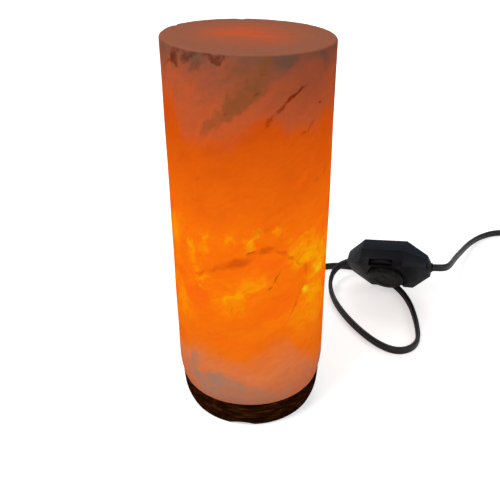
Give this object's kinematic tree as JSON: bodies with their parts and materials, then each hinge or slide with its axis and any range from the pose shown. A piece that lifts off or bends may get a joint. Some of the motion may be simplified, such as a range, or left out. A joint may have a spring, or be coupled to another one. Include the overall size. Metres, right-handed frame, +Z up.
{
  "type": "salt crystal lamp",
  "caption": "Cylindrical rock salt lamp on a dark wooden disc base, lit from inside by a small bulb, with a flat flex, inline rotary dimmer and mains plug.",
  "frame": {"origin": "on the floor under the middle of the wooden base, level with the underside of the feet", "axes": "+Z up along the salt cylinder's axis, -Y towards the viewer, the flex leaves at +Y and the dimmer lies at +X"},
  "size_m": [0.41, 0.2871, 0.2568],
  "materials": {
    "rock_salt": "rough",
    "dark_wood": "satin",
    "foot_rubber": "matte",
    "zinc_steel": "satin",
    "grey_nylon": "matte",
    "black_bakelite": "satin",
    "plated_flange": "satin",
    "socket_brass": "satin",
    "bulb_clear_glass": "clear",
    "bulb_cap_nickel": "satin",
    "bulb_black_glass": "gloss",
    "tungsten": "glowing",
    "flex_pvc": "satin",
    "black_rubber": "matte",
    "dimmer_plastic": "satin",
    "dial_plastic": "matte",
    "shaft_nylon": "matte",
    "potentiometer_case": "satin",
    "green_board": "satin",
    "component_black": "matte",
    "sink_aluminium": "satin",
    "capacitor_yellow": "satin",
    "choke_ferrite": "matte",
    "resistor_tan": "satin",
    "tie_plastic": "matte",
    "plug_pvc": "satin",
    "blade_brass": "polished"
  },
  "bodies": {
    "lamp": {"salt_cylinder": "rock_salt", "wood_base": "dark_wood", "base_feet": "foot_rubber", "base_screws": "zinc_steel", "spring_clips": "zinc_steel", "terminal_screws": "zinc_steel", "case_screws": "zinc_steel", "wall_plugs": "grey_nylon", "holder_body": "black_bakelite", "holder_cap": "black_bakelite", "holder_flange": "plated_flange", "screw_shell": "socket_brass", "centre_contact": "socket_brass", "contact_rivets": "socket_brass", "terminal_plates": "socket_brass", "cord_in_base": "flex_pvc", "holder_wires": "flex_pvc", "dimmer_flex_ends": "flex_pvc", "cord_to_dimmer": "flex_pvc", "cord_to_coil": "flex_pvc", "cord_coil": "flex_pvc", "cord_to_plug": "flex_pvc", "cord_grommet": "black_rubber", "dimmer_glands": "black_rubber", "dimmer_front_shell": "dimmer_plastic", "dimmer_back_shell": "dimmer_plastic", "cord_bridges": "dimmer_plastic", "potentiometer": "potentiometer_case", "circuit_board": "green_board", "triac": "component_black", "heat_sink": "sink_aluminium", "capacitor": "capacitor_yellow", "choke": "choke_ferrite", "board_resistors": "resistor_tan", "coil_tie": "tie_plastic", "plug_strain_relief": "plug_pvc", "plug_body": "plug_pvc", "plug_blades": "blade_brass"},
    "bulb_tip": {"bulb_tip_contact": "bulb_cap_nickel"},
    "bulb": {"bulb_glass": "bulb_clear_glass", "bulb_screw_cap": "bulb_cap_nickel", "bulb_insulator": "bulb_black_glass", "glass_stem": "bulb_clear_glass", "lead_wires": "tungsten", "filament": "tungsten"},
    "dial": {"dimmer_dial": "dial_plastic", "dial_shaft": "shaft_nylon"}
  },
  "joints": [
    {"name": "bulb_lift", "type": "slide", "parent": "lamp", "child": "bulb_tip", "axis": [0, 0, 1], "range_m": [0, 0.01016]},
    {"name": "bulb_unscrew", "type": "hinge", "parent": "bulb_tip", "child": "bulb", "pos_m": [0, 0, 0.03], "axis": [0, 0, 1], "range_deg": [0, 1440]},
    {"name": "dial_turn", "type": "hinge", "parent": "lamp", "child": "dial", "pos_m": [0.1251, 0.1274, 0.029], "axis": [-0.3113, -0.7705, -0.5562], "range_deg": [0, 290]}
  ],
  "couplings": [
    {"joint": "bulb_lift", "follows": "bulb_unscrew", "m_per_rad": 0.00040425}
  ]
}
